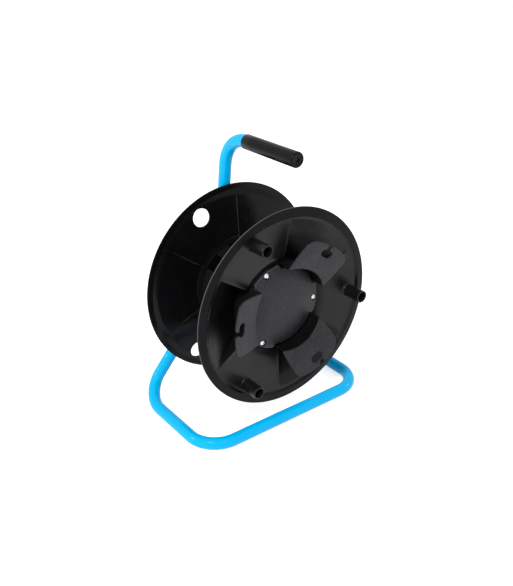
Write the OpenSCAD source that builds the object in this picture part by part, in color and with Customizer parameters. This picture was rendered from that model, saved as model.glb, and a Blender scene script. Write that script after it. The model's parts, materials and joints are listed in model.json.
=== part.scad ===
// Empty cable reel: a moulded drum that turns on the axle of a bent-tube stand.
// Millimetres, +Z up, front towards -Y, origin on the floor under the middle of the footprint.
// The drum's parts are drawn lying down with their front up, then stood up on the axle.

/* [Drum] */
// Outer diameter of both flanges
flange_d = 290; // [270:1:306]
// Width of the drum between the outer edges of the rims
drum_w = 130; // [124:1:150]
// Wall thickness of the moulded parts
wall = 2.4; // [2:0.1:3]
// Outer diameter of the winding core
core_d = 128.6; // [122:0.2:134]
// Angle at which the first peg stands, from the right towards the top
drum_turn = 115.5; // [0:0.5:359.5]

/* [Rims and dishes] */
// Width of the band along each rim
rim_band = 11.6; // [8:0.1:14]
// How far the band's inner edge stands in front of its outer edge
rim_rise = 1.3; // [0.5:0.1:2]
// Thickness of the rim's outer edge
rim_edge = 2; // [1.6:0.1:2.4]
// Drop from the band's inner edge to the dish
rim_drop = 3.2; // [2:0.1:5]
// Width of that drop
rim_drop_w = 2.4; // [1.5:0.1:4]
// Depth of the peg sectors at the hub, behind the rim
peg_dish = 11.3; // [8:0.1:14]
// Depth of the scoops at the hub, behind the rim
scoop_dish = 34; // [24:1:38]
// Depth of the flat sectors of the rear flange at the hub
rear_dish = 6.5; // [3:0.1:8]
// Distance from the axle at which the pockets in the dishes begin
pocket_r = 127; // [122:0.5:129]
// Depth of the hub web behind the rim
web_depth = 15; // [14:0.1:17]
// Thickness of the hub web
web_t = 3; // [2.4:0.1:4]

/* [Pegs] */
// Diameter of the circle on which the pegs stand
peg_circle_d = 239; // [220:1:246]
// Outer diameter of a peg
peg_d = 18; // [16:0.5:19]
// Bore of a hollow peg
peg_bore = 14; // [10:0.5:14]
// How far the pegs stand in front of the rim
peg_reach = 26.5; // [20:0.5:34]
// Diameter of the three round holes in the rear flange
rear_hole_d = 28; // [20:1:32]

/* [Wings] */
// Diameter over the tips of the three wings
wing_d = 209; // [190:1:220]
// Width of a wing
wing_w = 80; // [74:1:84]
// Width of a wing at its root
wing_root_w = 68; // [64:1:72]
// How far a wing's root stands in front of the rim
wing_front = 13; // [8:0.5:18]
// Forward tilt of a wing
wing_tilt = 18; // [10:1:22]
// Thickness of a wing
wing_t = 2.8; // [2.2:0.1:3.6]
// Radius of a wing's outer corners
wing_corner = 14; // [10:1:18]
// Distance of the keyhole's middle from the axle
key_r = 91.5; // [86:0.5:94]
// Length of the keyhole's round part
key_l = 20; // [14:1:24]
// Width of the keyhole's round part
key_w = 11; // [8:0.5:12]
// Width of the slot out of the keyhole
key_slot = 6; // [4:0.5:8]
// Sideways offset of the slot
key_shift = 3; // [-4:0.5:4]

/* [Hub cover] */
// Diameter of the domed cover
cover_d = 116.4; // [110:0.2:117]
// Depth of the dome's top behind the rim
cover_top = 3.5; // [2.5:0.1:4.5]
// Depth of the dome's edge behind the rim
cover_edge = 9; // [7:0.1:10]
// Depth of the three lobes behind the rim
lobe_depth = 10.5; // [9.5:0.1:11.5]
// Depth of the screws' seats in the lobes behind the rim
seat_depth = 12.5; // [12:0.1:13]
// Distance from the axle to the end of a lobe
lobe_r = 64; // [62.5:0.1:65]
// Half the angle that a lobe spans
lobe_half = 22.5; // [18:0.5:26]

/* [Fasteners] */
// Diameter of the circle of screws
screw_circle_d = 116.8; // [114:0.2:118]
// Shank diameter of the screws
screw_d = 5; // [4:0.5:5]
// Head diameter of the screws
screw_head_d = 8.6; // [8:0.1:9]
// Head height of the screws
screw_head_h = 2.6; // [2:0.1:3]
// Length of the screws under the head
screw_l = 22; // [18:1:26]
// Outer diameter of the washers under the rear screws
screw_washer_d = 11; // [9:0.5:11]
// Thickness of those washers
screw_washer_t = 1; // [0.8:0.1:1.6]

/* [Bearing] */
// Axle diameter
axle_d = 12; // [10:0.5:13]
// Wall of the bearing bushes
bush_wall = 3; // [2.5:0.1:3.5]
// Length of a bush inside the hub tube
bush_l = 16; // [12:1:22]
// Thickness of a bush's flange
bush_flange_t = 2; // [1.6:0.1:2.4]
// Wall of the hub tube
hub_wall = 6; // [4:0.5:7]
// Thickness of the thrust washers
washer_t = 2; // [1.6:0.1:2.2]
// Thickness of the spring washer
spring_t = 2; // [1.6:0.1:2.2]
// Height of the lock nut
nut_h = 7; // [6:0.1:7]
// Width across the nut's flats
nut_af = 19; // [18.5:0.5:21]
// Outer diameter of the boss that holds the axle
boss_d = 26; // [22:1:30]

/* [Stand] */
// Outer diameter of the stand's tubes
tube_d = 18; // [16:0.5:20]
// Wall of the tubes
tube_wall = 1.5; // [1:0.1:2.5]
// Height of the axle over the floor
axle_z = 181; // [175:1:200]
// Overall width of the base
base_w = 306.5; // [296:0.5:340]
// How far the front bar's middle stands in front of the front rim
bar_front = 8.5; // [-10:0.5:18]
// How far the legs' middle stands behind the rear rim
legs_back = 32; // [29:0.5:44]
// Bend radius of the front corners
front_bend = 44; // [36:1:60]
// Bend radius where the side bars turn up into the legs
leg_bend = 42; // [34:1:52]
// How far below the axle the legs meet the post
legs_drop = 5; // [0:1:12]
// Forward lean of the post
post_lean = 8.1; // [6:0.1:8.6]
// Length of the post below the axle
post_below = 22; // [18:1:32]
// Height of the arm's middle over the floor
arm_z = 396; // [386:1:420]
// Bend radius between post and arm
arm_bend = 51; // [40:1:60]

/* [Grip] */
// How far the grip's end stands in front of the front rim
grip_reach = 21.5; // [16:0.5:40]
// Wall of the grip
grip_wall = 1.3; // [0.8:0.1:2]
// Thickness of the grip's end
grip_end = 3; // [2:0.5:5]
// Hole in the grip's end
grip_hole_d = 5; // [3:0.5:8]
// Length of the plugs inside the tube
plug_l = 14; // [8:1:18]
// Thickness of the plugs' heads
plug_head = 2; // [1.5:0.5:3]

/* [Clearances] */
// Gap round parts that pass through each other without touching
pass_gap = 0.4; // [0.3:0.1:0.8]
// Gap of the legs' shaped ends round the post, filled by the weld
weld_gap = 0.05; // [0.02:0.01:0.1]
// Radial clearance of the axle in its bushes
run_gap = 0.05; // [0.02:0.01:0.09]
// Radial clearance of the washers on the axle
washer_gap = 0.25; // [0.15:0.05:0.4]
// End play of the drum between the thrust washers
end_play = 0.2; // [0.1:0.05:0.5]

/* [Hidden] */
$fn = 96;

// Drum: radii, and heights forward of the drum's middle plane
arms = 3;
pitch = 360 / arms;
half_sector = pitch / 4;
flange_r = flange_d / 2;
core_r = core_d / 2;
front_h = drum_w / 2;
crest_r = flange_r - rim_band;
dish_r = crest_r - rim_drop_w;
dish_start = rim_drop - rim_rise;
web_h = front_h - web_depth;
core_h = web_h - web_t;
groove_r = core_r + 3.7;
riser_w = 2.4;
core_half = half_sector - 1;
tower_half = 9.5;
peg_r = peg_circle_d / 2;
screw_r = screw_circle_d / 2;
tower_d = 11;
pilot_d = screw_d - 0.8;
cover_r = cover_d / 2;

// Bearing: heights forward of the drum's middle plane
axle_r = axle_d / 2;
bush_r = axle_r + bush_wall;
hub_r = bush_r + hub_wall;
hub_h = core_h - 3;
flange_bush_r = hub_r - 2;
bush_end = hub_h + bush_flange_t;
washer_start = bush_end + end_play;
washer_end = washer_start + washer_t;
nut_start = washer_end + spring_t;
web_hole_r = hub_r + 5;

// Stand: y measured from the drum's middle plane, which lies at drum_y
tube_r = tube_d / 2;
bar_y = -front_h - bar_front;
legs_y = front_h + legs_back;
grip_y = -front_h - grip_reach;
front_y = min(grip_y, -front_h - peg_reach, bar_y - tube_r);
corner_x = base_w / 2 - tube_r;
apex_z = axle_z - legs_drop;
leg_angle = atan2(corner_x, apex_z - tube_r);
leg_l = norm([corner_x, apex_z - tube_r]) - leg_bend;
side_l = legs_y - bar_y - leg_bend - front_bend;
front_l = 2 * (corner_x - front_bend);
post_turn = 90 - post_lean;
arm_tangent = arm_bend * tan(post_turn / 2);
post_l = (arm_z - apex_z) / cos(post_lean) - arm_tangent;
post_foot = post_below / cos(post_lean);
rear_y = legs_y + (post_foot + plug_head) * sin(post_lean) + tube_r * cos(post_lean);
drum_y = -(front_y + rear_y) / 2;
post_top_y = legs_y - (arm_z - apex_z) * tan(post_lean);
arm_l = post_top_y - arm_tangent - grip_y;
grip_l = arm_l - 1.5;
seat_r = tube_r - 0.1;
lap = 2;
hair = 0.05;
cut = 1;

// Depth behind the rim of a cone that reaches hub_depth where the core begins
function cone_depth(r, hub_depth) =
    dish_start + (hub_depth - dish_start) * (dish_r - r) / (dish_r - core_r);

// The wing's front face, as a height, at a distance along the wing's middle line
function wing_h(u) = front_h + wing_front + (u - core_r + wall) * tan(wing_tilt);

// Stands a lying part of the drum or its bearing up on the axle
module stand_up() {
    translate([0, drum_y, axle_z])
        rotate([90, 0, 0])
            children();
}

// The same, turned to the angle at which the drum rests
module on_drum() {
    stand_up()
        rotate([0, 0, drum_turn])
            children();
}

// Copies a shape to each peg, or to each wing with a shift of half a pitch
module around(shift = 0) {
    for (i = [0 : arms - 1])
        rotate([0, 0, i * pitch + shift])
            children();
}

// Turns a profile of radius and height through an angle on both sides of the X axis
module sector(half) {
    rotate([0, 0, -half])
        rotate_extrude(angle = 2 * half)
            children();
}

// Cylindrical wall between two heights
module ring(r, inner_r, low, high) {
    translate([0, 0, low])
        difference() {
            cylinder(r = r, h = high - low);
            translate([0, 0, -cut])
                cylinder(r = inner_r, h = high - low + 2 * cut);
        }
}

// A profile line given as radii and depths behind the rim, thickened away from the front
module shell_profile(line, t) {
    top = [for (p = line) [p[0], front_h - p[1]]];
    low = [for (i = [len(line) - 1 : -1 : 0]) [line[i][0], front_h - line[i][1] - t]];
    polygon(concat(top, low));
}

// A flange's shell: hub web, riser up to inner_r, conical dish and rim, with three deeper sectors.
// The riser slopes over a width of slope
module dish_shell(inner_r, slope, base_depth, pocket_depth, shift) {
    low = front_h - max(pocket_depth, web_depth + web_t) - 2 * wall;
    difference() {
        rotate_extrude()
            polygon([
                [web_hole_r, low],
                [web_hole_r, web_h],
                [inner_r - slope, web_h],
                [inner_r, front_h - cone_depth(inner_r, base_depth)],
                [dish_r, front_h - dish_start],
                [crest_r, front_h + rim_rise],
                [flange_r - 0.6, front_h],
                [flange_r, front_h - 0.6],
                [flange_r, low]
            ]);
        around(shift)
            sector(half_sector)
                pocket_profile(base_depth, pocket_depth, 0);
        difference() {
            rotate_extrude()
                polygon([
                    [0, low - cut],
                    [0, core_h],
                    [inner_r + wall, core_h],
                    [inner_r + wall, front_h - cone_depth(inner_r + wall, base_depth) - wall],
                    [dish_r + wall / 2, front_h - dish_start - wall],
                    [crest_r + wall / 2, front_h + rim_rise - wall],
                    [flange_r + cut, front_h - rim_edge],
                    [flange_r + cut, low - cut]
                ]);
            around(shift)
                intersection() {
                    rotate_extrude()
                        pocket_profile(base_depth, pocket_depth, wall);
                    wedge();
                }
        }
    }
}

// Depth behind the rim of a pocket that leaves the dish at pocket_r
function pocket_depth_at(r, base_depth, pocket_depth) =
    let (start = cone_depth(pocket_r, base_depth))
    start + (pocket_depth - start) * (pocket_r - r) / (pocket_r - core_r);

// Everything in front of a pocket's floor, lowered by drop
module pocket_profile(base_depth, pocket_depth, drop) {
    inner_r = core_r - wall / 2;
    polygon([
        [inner_r, front_h - pocket_depth_at(inner_r, base_depth, pocket_depth) - drop],
        [dish_r, front_h - pocket_depth_at(dish_r, base_depth, pocket_depth) - drop],
        [dish_r, front_h + web_depth],
        [inner_r, front_h + web_depth]
    ]);
}

// Wedge along a pocket, wider than the pocket by a wall on each side
module wedge() {
    reach = 2 * flange_r;
    translate([-wall / sin(half_sector), 0, -drum_w])
        linear_extrude(2 * drum_w)
            polygon([[0, 0], [reach, -reach * tan(half_sector)], [reach, reach * tan(half_sector)]]);
}

// Front flange: rim, peg sectors with hollow pegs, scoops, and a web that reaches in under the cover
module front_flange() {
    color("#2b2b2e")
        on_drum()
            difference() {
                union() {
                    difference() {
                        dish_shell(groove_r, riser_w, peg_dish, scoop_dish, pitch / 2);
                        around(pitch / 2)
                            sector(half_sector)
                                translate([core_r - wall - pass_gap, 0])
                                    square([wall + 2 * pass_gap, front_h]);
                    }
                    around()
                        peg();
                }
                around()
                    translate([screw_r, 0, core_h - cut])
                        cylinder(d = screw_d + 2 * pass_gap, h = web_t + 2 * cut);
                around()
                    translate([peg_r, 0, front_h])
                        cylinder(d = peg_bore, h = peg_reach + cut);
            }
}

// Peg with a small cone at its root
module peg() {
    root_h = front_h - cone_depth(peg_r, peg_dish) - wall / 2;
    translate([peg_r, 0, root_h]) {
        cylinder(d = peg_d, h = front_h + peg_reach - root_h);
        cylinder(r1 = peg_d / 2 + 2, r2 = peg_d / 2, h = wall / 2 + 2.5);
    }
}

// Rear flange: the same rim, three deeper sectors with a round hole, and the hub web
module rear_flange() {
    color("#1f1f22")
        on_drum()
            mirror([0, 0, 1])
                difference() {
                    dish_shell(core_r, 0, rear_dish, peg_dish, 0);
                    around()
                        translate([peg_r, 0, core_h])
                            cylinder(d = rear_hole_d, h = web_depth + web_t);
                    around()
                        translate([screw_r, 0, core_h - cut])
                            cylinder(d = screw_d + 2 * pass_gap, h = web_t + 2 * cut);
                }
}

// Outline of a wing seen along the axle, middle line along X. Its arcs cross at a hair's breadth
// instead of touching, which keeps the solid sound
module wing_outline() {
    corner_v = wing_w / 2 - wing_corner;
    corner_reach = wing_d / 2 - wing_corner;
    corner_u = sqrt(pow(corner_reach, 2) - pow(corner_v, 2));
    ray = asin(corner_v / corner_reach);
    root_u = core_r * cos(core_half) - wall;
    side_v = wing_w / 2 - hair;
    difference() {
        union() {
            intersection() {
                circle(d = wing_d);
                polygon([[0, 0], [wing_d * cos(ray), -wing_d * sin(ray)], [wing_d * cos(ray), wing_d * sin(ray)]]);
            }
            for (side = [-1, 1])
                translate([corner_u - hair, side * corner_v])
                    circle(r = wing_corner);
            polygon([
                [0, 0],
                [root_u, -wing_root_w / 2],
                [corner_u - wing_corner, -side_v],
                [corner_u, -side_v],
                [corner_u, side_v],
                [corner_u - wing_corner, side_v],
                [root_u, wing_root_w / 2]
            ]);
        }
        circle(r = core_r - wall / 2);
        keyhole();
    }
}

// Keyhole: a long round hole whose slot leaves through the wing's outer edge and widens on the way
module keyhole() {
    end_v = (key_l - key_w) / 2;
    for (side = [-1, 1])
        translate([key_r, side * end_v])
            circle(d = key_w);
    translate([key_r - key_w / 2, -end_v])
        square([key_w, 2 * end_v]);
    polygon([
        [key_r, key_shift - key_slot / 2],
        [wing_d / 2 - key_slot / 2, key_shift - key_slot / 2],
        [wing_d / 2 + cut, key_shift - key_slot],
        [wing_d / 2 + cut, key_shift + key_slot],
        [wing_d / 2 - key_slot / 2, key_shift + key_slot / 2],
        [key_r, key_shift + key_slot / 2]
    ]);
}

// Everything between the wing's front face and a depth below it
module wing_slab(t) {
    translate([core_r - wall, 0, wing_h(core_r - wall)])
        rotate([0, -wing_tilt, 0])
            translate([-wing_d / 4, -wing_d / 2, -t])
                cube([wing_d, wing_d, t]);
}

// Keyhole wings: each is a tilted plate on a curved wall that carries on from a segment of the core
module keyhole_wings() {
    tall = drum_w + wing_d;
    color("#38383b")
        on_drum()
            around(pitch / 2) {
                intersection() {
                    translate([0, 0, front_h])
                        linear_extrude(wing_d)
                            wing_outline();
                    wing_slab(wing_t);
                }
                intersection() {
                    sector(core_half)
                        translate([core_r - wall, core_h])
                            square([wall, tall]);
                    wing_slab(tall);
                }
            }
}

// Winding core: wall segments, screw towers, hub tube and the ribs between them
module winding_core() {
    color("#38383b")
        on_drum()
            difference() {
                union() {
                    around(pitch / 2) {
                        core_wall(core_half);
                        core_rib(core_r - wall / 2);
                    }
                    around() {
                        core_wall(tower_half);
                        translate([screw_r, 0, -core_h])
                            cylinder(d = tower_d, h = 2 * core_h);
                        core_rib(screw_r);
                    }
                    translate([0, 0, -hub_h])
                        cylinder(r = hub_r, h = 2 * hub_h);
                }
                translate([0, 0, -hub_h - cut])
                    cylinder(r = bush_r, h = 2 * (hub_h + cut));
                for (side = [0, 1])
                    mirror([0, 0, side])
                        around()
                            translate([screw_r, 0, core_h - screw_l])
                                cylinder(d = pilot_d, h = screw_l + cut);
            }
}

// Curved wall of the core between the two flanges' webs
module core_wall(half) {
    sector(half)
        translate([core_r - wall, -core_h])
            square([wall, 2 * core_h]);
}

// Flat rib from the hub tube out to reach
module core_rib(reach) {
    rib_h = hub_h - web_t;
    translate([hub_r - wall, -wall / 2, -rib_h])
        cube([reach - hub_r + wall, wall, 2 * rib_h]);
}

// Domed cover with a skirt and three lobes, each with a flat recess for its screw
module hub_cover() {
    recess_r = screw_head_d / 2 + 0.7;
    mid_r = cover_r / 2;
    color("#3a3a3f")
        on_drum()
            difference() {
                union() {
                    rotate_extrude()
                        shell_profile([
                            [0, cover_top],
                            [axle_r, cover_top],
                            [mid_r, cover_top + (cover_edge - cover_top) / 4],
                            [cover_r - wall / 2, cover_edge - 0.6],
                            [cover_r, cover_edge]
                        ], wall);
                    ring(cover_r, cover_r - wall, web_h, front_h - cover_edge - wall / 2);
                    around()
                        sector(lobe_half)
                            translate([cover_r - 3 * wall, web_h])
                                square([lobe_r - cover_r + 3 * wall, web_depth - lobe_depth]);
                }
                around()
                    translate([screw_r, 0, front_h - seat_depth])
                        cylinder(r = recess_r, h = web_depth);
                around()
                    translate([screw_r, 0, web_h - cut])
                        cylinder(d = screw_d + 2 * pass_gap, h = web_depth);
            }
}

// Pan-head screw with a cross recess, head seat at height 0, shank downwards
module screw() {
    difference() {
        union() {
            translate([0, 0, -screw_l])
                cylinder(d = pilot_d, h = screw_l);
            cylinder(d1 = screw_head_d, d2 = screw_head_d - 2, h = screw_head_h);
        }
        for (turn = [0, 90])
            rotate([0, 0, turn])
                translate([-screw_head_d / 3.4, -0.6, screw_head_h / 2])
                    cube([screw_head_d / 1.7, 1.2, screw_head_h]);
    }
}

module cover_screws() {
    color("silver")
        on_drum()
            around()
                translate([screw_r, 0, front_h - seat_depth])
                    screw();
}

module rear_screws() {
    color("silver")
        on_drum()
            mirror([0, 0, 1])
                around()
                    translate([screw_r, 0, web_h + screw_washer_t])
                        screw();
}

module screw_washers() {
    color("silver")
        on_drum()
            mirror([0, 0, 1])
                around()
                    translate([screw_r, 0, web_h])
                        difference() {
                            cylinder(d = screw_washer_d, h = screw_washer_t);
                            translate([0, 0, -cut])
                                cylinder(d = screw_d, h = screw_washer_t + 2 * cut);
                        }
}

// Flanged bush in one end of the hub tube
module bush() {
    ring(bush_r, axle_r + run_gap, hub_h - bush_l, hub_h + bush_flange_t / 2);
    ring(flange_bush_r, axle_r + run_gap, hub_h, bush_end);
}

module front_bush() {
    color("ivory")
        on_drum()
            bush();
}

module rear_bush() {
    color("ivory")
        on_drum()
            mirror([0, 0, 1])
                bush();
}

// Axle pin: fixed in the boss and the post, threaded at its front end
module axle() {
    color("silver")
        stand_up()
            translate([0, 0, -legs_y - tube_r])
                cylinder(r = axle_r, h = legs_y + tube_r + nut_start + nut_h + 0.6);
}

module front_washer() {
    color("silver")
        stand_up()
            ring(flange_bush_r - 1, axle_r + washer_gap, washer_start, washer_end);
}

module rear_washer() {
    color("silver")
        stand_up()
            mirror([0, 0, 1])
                ring(flange_bush_r - 1, axle_r + washer_gap, washer_start, washer_end);
}

// Split ring under the lock nut
module spring_washer() {
    color("dimgray")
        stand_up()
            difference() {
                ring(axle_r + 4, axle_r + washer_gap, washer_end, nut_start);
                translate([0, -1, washer_end - cut])
                    cube([axle_d, 2, spring_t + 2 * cut]);
            }
}

module lock_nut() {
    color("silver")
        stand_up()
            translate([0, 0, nut_start])
                difference() {
                    cylinder(d = nut_af / cos(30), h = nut_h, $fn = 6);
                    translate([0, 0, -cut])
                        cylinder(r = axle_r, h = nut_h + 2 * cut);
                }
}

// Boss between the drum and the post, shaped to the tubes where it is welded on
module axle_boss() {
    color("deepskyblue")
        difference() {
            stand_up()
                mirror([0, 0, 1])
                    ring(boss_d / 2, axle_r, washer_end, legs_y - tube_r + 2 * tube_wall);
            post_space(tube_r);
            leg_space(tube_r);
        }
}

// Where the post's and the legs' middle lines meet
module at_apex() {
    translate([0, drum_y + legs_y, apex_z])
        children();
}

// Room that the post takes, as one long leaning cylinder
module post_space(r) {
    at_apex()
        rotate([post_lean, 0, 0])
            translate([0, 0, -apex_z / 2])
                cylinder(r = r, h = apex_z + axle_z / 2);
}

// Room that the upper ends of the legs take
module leg_space(r) {
    at_apex()
        for (side = [-1, 1])
            rotate([0, side * (90 + leg_angle), 0])
                cylinder(r = r, h = leg_l / 2);
}

// Tube through straight stretches and bends. A step is [roll, straight length, bend radius, bend angle]
module tube_run(steps, r, i = 0) {
    if (i < len(steps)) {
        roll = steps[i][0];
        straight = steps[i][1];
        radius = steps[i][2];
        turn = steps[i][3];
        rotate([0, 0, roll]) {
            cylinder(r = r, h = straight);
            if (turn > 0)
                translate([0, 0, straight]) {
                    translate([radius, 0, 0])
                        rotate([-90, 0, 0])
                            rotate([0, 0, 180])
                                rotate_extrude(angle = turn)
                                    translate([radius, 0])
                                        circle(r = r);
                    translate([radius * (1 - cos(turn)), 0, radius * sin(turn)])
                        rotate([0, turn, 0])
                            tube_run(steps, r, i + 1);
                }
        }
    }
}

// Hollow tube, open at both ends
module hollow_run(steps) {
    last = len(steps) - 1;
    inner = [for (i = [0 : last]) [
        steps[i][0],
        steps[i][1] + (i == 0 ? cut : 0) + (i == last ? cut : 0),
        steps[i][2],
        steps[i][3]
    ]];
    difference() {
        tube_run(steps, tube_r);
        translate([0, 0, -cut])
            tube_run(inner, tube_r - tube_wall);
    }
}

// One tube: left leg, side bar, front bar, side bar, right leg; the legs' ends fit round the post
module base_tube() {
    tilt = 90 - leg_angle;
    color("deepskyblue")
        difference() {
            at_apex()
                rotate([0, 180 + leg_angle, 0])
                    rotate([0, 0, -90])
                        hollow_run([
                            [0, leg_l, leg_bend, 90],
                            [-tilt, side_l, front_bend, 90],
                            [0, front_l, front_bend, 90],
                            [tilt, side_l, leg_bend, 90],
                            [0, leg_l, 0, 0]
                        ]);
            post_space(tube_r + weld_gap);
        }
}

// Places a shape drawn along +Z at the post's foot, so that it runs up along the post
module along_post() {
    at_apex()
        rotate([post_lean, 0, 0])
            translate([0, 0, -post_foot])
                children();
}

// Places a shape drawn along +Z so that it runs back along the arm from the grip's end
module along_arm() {
    translate([0, drum_y + grip_y, arm_z])
        rotate([-90, 0, 0])
            children();
}

// Post and bend as one solid rod, starting at a height below or above the post's foot
module post_rod(r, start) {
    along_post()
        translate([0, 0, start])
            rotate([0, 0, -90])
                tube_run([[0, post_foot + post_l - start, arm_bend, post_turn]], r);
}

// Arm as one solid rod that laps into the end of the bend
module arm_rod(r, start) {
    along_arm()
        translate([0, 0, start])
            cylinder(r = r, h = arm_l + lap - start);
}

// One tube: post behind the drum, bend, and the arm, drawn slightly slimmer where the grip slides on
module handle_tube() {
    color("deepskyblue")
        difference() {
            union() {
                post_rod(tube_r, 0);
                arm_rod(seat_r, grip_end + plug_head);
            }
            post_rod(tube_r - tube_wall, -cut);
            arm_rod(seat_r - tube_wall, 0);
            stand_up()
                translate([0, 0, -rear_y - cut])
                    cylinder(r = axle_r, h = tube_d * 2);
        }
}

// Sleeve over the arm with a rounded, drilled end
module grip() {
    grip_r = tube_r + grip_wall;
    round_r = 2;
    color("#2a2a2c")
        along_arm()
            difference() {
                rotate_extrude()
                    union() {
                        translate([0, round_r])
                            square([grip_r, grip_l - round_r]);
                        square([grip_r - round_r, round_r + cut]);
                        translate([grip_r - round_r, round_r])
                            circle(r = round_r);
                    }
                translate([0, 0, grip_end])
                    cylinder(r = seat_r, h = grip_l);
                translate([0, 0, -cut])
                    cylinder(d = grip_hole_d, h = grip_end + 2 * cut);
            }
}

// Plug with a flat head for an open tube end
module plug(head_r, stem_r) {
    cylinder(r = head_r, h = plug_head);
    cylinder(r = stem_r, h = plug_head + plug_l);
}

// Plug in the arm's open end, under the grip
module tube_plug() {
    color("dimgray")
        along_arm()
            translate([0, 0, grip_end])
                plug(seat_r, seat_r - tube_wall);
}

// Plug in the post's lower end
module post_plug() {
    color("dimgray")
        along_post()
            translate([0, 0, -plug_head])
                plug(tube_r, tube_r - tube_wall);
}

base_tube();
handle_tube();
axle_boss();
axle();
rear_washer();
front_washer();
spring_washer();
lock_nut();
grip();
tube_plug();
post_plug();
front_flange();
winding_core();
keyhole_wings();
rear_flange();
hub_cover();
cover_screws();
rear_screws();
screw_washers();
front_bush();
rear_bush();
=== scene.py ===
import json
import math
import bpy
import numpy as np
from mathutils import Matrix, Vector


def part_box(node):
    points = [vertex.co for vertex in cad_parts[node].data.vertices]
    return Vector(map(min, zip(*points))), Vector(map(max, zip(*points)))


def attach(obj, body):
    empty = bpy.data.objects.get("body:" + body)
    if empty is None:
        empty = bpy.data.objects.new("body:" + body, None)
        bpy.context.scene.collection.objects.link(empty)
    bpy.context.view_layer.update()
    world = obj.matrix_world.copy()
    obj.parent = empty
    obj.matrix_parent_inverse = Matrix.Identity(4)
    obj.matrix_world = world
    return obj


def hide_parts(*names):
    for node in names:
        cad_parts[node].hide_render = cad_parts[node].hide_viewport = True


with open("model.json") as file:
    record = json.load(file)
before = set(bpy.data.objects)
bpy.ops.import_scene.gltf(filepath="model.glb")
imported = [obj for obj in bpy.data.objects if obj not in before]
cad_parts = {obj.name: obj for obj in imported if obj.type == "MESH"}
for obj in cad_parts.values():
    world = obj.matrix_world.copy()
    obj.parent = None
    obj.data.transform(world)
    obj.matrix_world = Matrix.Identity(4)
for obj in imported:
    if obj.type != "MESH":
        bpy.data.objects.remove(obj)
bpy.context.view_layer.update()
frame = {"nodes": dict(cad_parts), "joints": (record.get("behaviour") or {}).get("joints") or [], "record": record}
print("frame loaded:", len(frame["nodes"]), "parts")

# sizes are in millimetres, which makePiece turns into metres; finishes, studio and view are in metres
perMetre = 1000
spin = [joint for joint in frame["joints"] if joint["name"] == "drum_spin"][0]
axle = {letter: value * perMetre for letter, value in zip("xyz", spin["pos_m"])}
# armCircle carries the pegs in front and the round holes behind
drum = {"radius": 145, "halfWidth": 65, "wall": 2.4, "coreRadius": 64.3, "restTurn": 115.5, "arms": 3,
        "armCircle": 119.5}
pitch = 360 / drum["arms"]
armTurns = pitch * np.arange(drum["arms"])
slotOf = {part["node"]: part["material_slot"] for part in frame["record"]["subparts"]}


def rotated(x, y, degrees):
    # (x, y) turned about the origin
    t = math.radians(degrees)
    return x * math.cos(t) - y * math.sin(t), x * math.sin(t) + y * math.cos(t)


def polar(radius, degrees):
    # x = radius * cos(angle), y = radius * sin(angle)
    a = np.radians(degrees)
    return radius * np.cos(a), radius * np.sin(a)


def onDrum(x, y, height):
    # the drum is drawn lying with its front up: it is turned by restTurn, then stood up on the axle
    px, py = rotated(x, y, drum["restTurn"])
    return np.stack(np.broadcast_arrays(axle["x"] + px, axle["y"] - height, axle["z"] + py), -1)


def turnedBy(degrees):
    # placement that turns a drum part about the axle
    return lambda x, y, h: onDrum(*rotated(x, y, degrees), h)


def constant(value):
    # the same height at every (x, y)
    return lambda x, y: value + 0 * x


def nodeBox(node):
    # lowest and highest corner of a CAD node
    return np.array(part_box(node)) * perMetre


def gridQuads(rows, columns, closeColumns=True):
    # quads between neighbouring rows and columns; the last column joins the first if closed
    across = np.arange(columns if closeColumns else columns - 1)
    i, j = np.meshgrid(np.arange(rows - 1), across, indexing="ij")
    here, beside = i * columns + j, i * columns + (j + 1) % columns
    return np.stack([here, here + columns, beside + columns, beside], -1).reshape(-1, 4)


def cappedGrid(rows, columns):
    # quads of a grid with closed columns, and one face each over its first and its last row
    faces = gridQuads(rows, columns).tolist()
    return faces + [list(range(columns)), list(range((rows - 1) * columns, rows * columns))[::-1]]


def rolled(values, reach):
    # copies of a closed line, shifted by up to reach points both ways, for sliding means and minima
    return [np.roll(values, k, 0) for k in range(-reach, reach + 1)]


def smoothed(radius, line, window):
    # height of a bent line at each radius, averaged over a window so that its corners come out round
    shifts = np.linspace(-window, window, 9)[:, None]
    x, y = np.array(line, float).T
    return np.interp(radius + shifts, x, y).mean(0)


def smoothLoop(loop, step=0.5, window=1.2):
    # closed outline resampled evenly, then averaged over a short window so that its corners are round
    loop = np.vstack([loop, loop[:1]])
    along = np.concatenate([[0], np.cumsum(np.linalg.norm(np.diff(loop, axis=0), axis=1))])
    at = np.linspace(0, along[-1], int(along[-1] / step), endpoint=False)
    even = np.stack([np.interp(at, along, loop[:, k]) for k in (0, 1)], -1)
    return np.mean(rolled(even, max(1, int(window / 2 / step))), 0)


def roundedLine(corners, radii, step=4.0):
    # path through corner points whose inner corners are arcs: tangent length = radius * tan(half turn)
    corners = np.array(corners, float)
    path = [corners[:1]]
    for before, corner, after, radius in zip(corners, corners[1:], corners[2:], radii):
        inward, outward = corner - before, after - corner
        inward, outward = inward / np.linalg.norm(inward), outward / np.linalg.norm(outward)
        turn = math.acos(np.clip(inward @ outward, -1, 1))
        start = corner - inward * radius * math.tan(turn / 2)
        side = outward - inward * (inward @ outward)
        side /= np.linalg.norm(side)
        angle = np.linspace(0, turn, max(3, int(math.degrees(turn) / step)))[:, None]
        path.append(start + radius * (np.sin(angle) * inward + (1 - np.cos(angle)) * side))
    path.append(corners[-1:])
    return np.concatenate(path)


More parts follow.
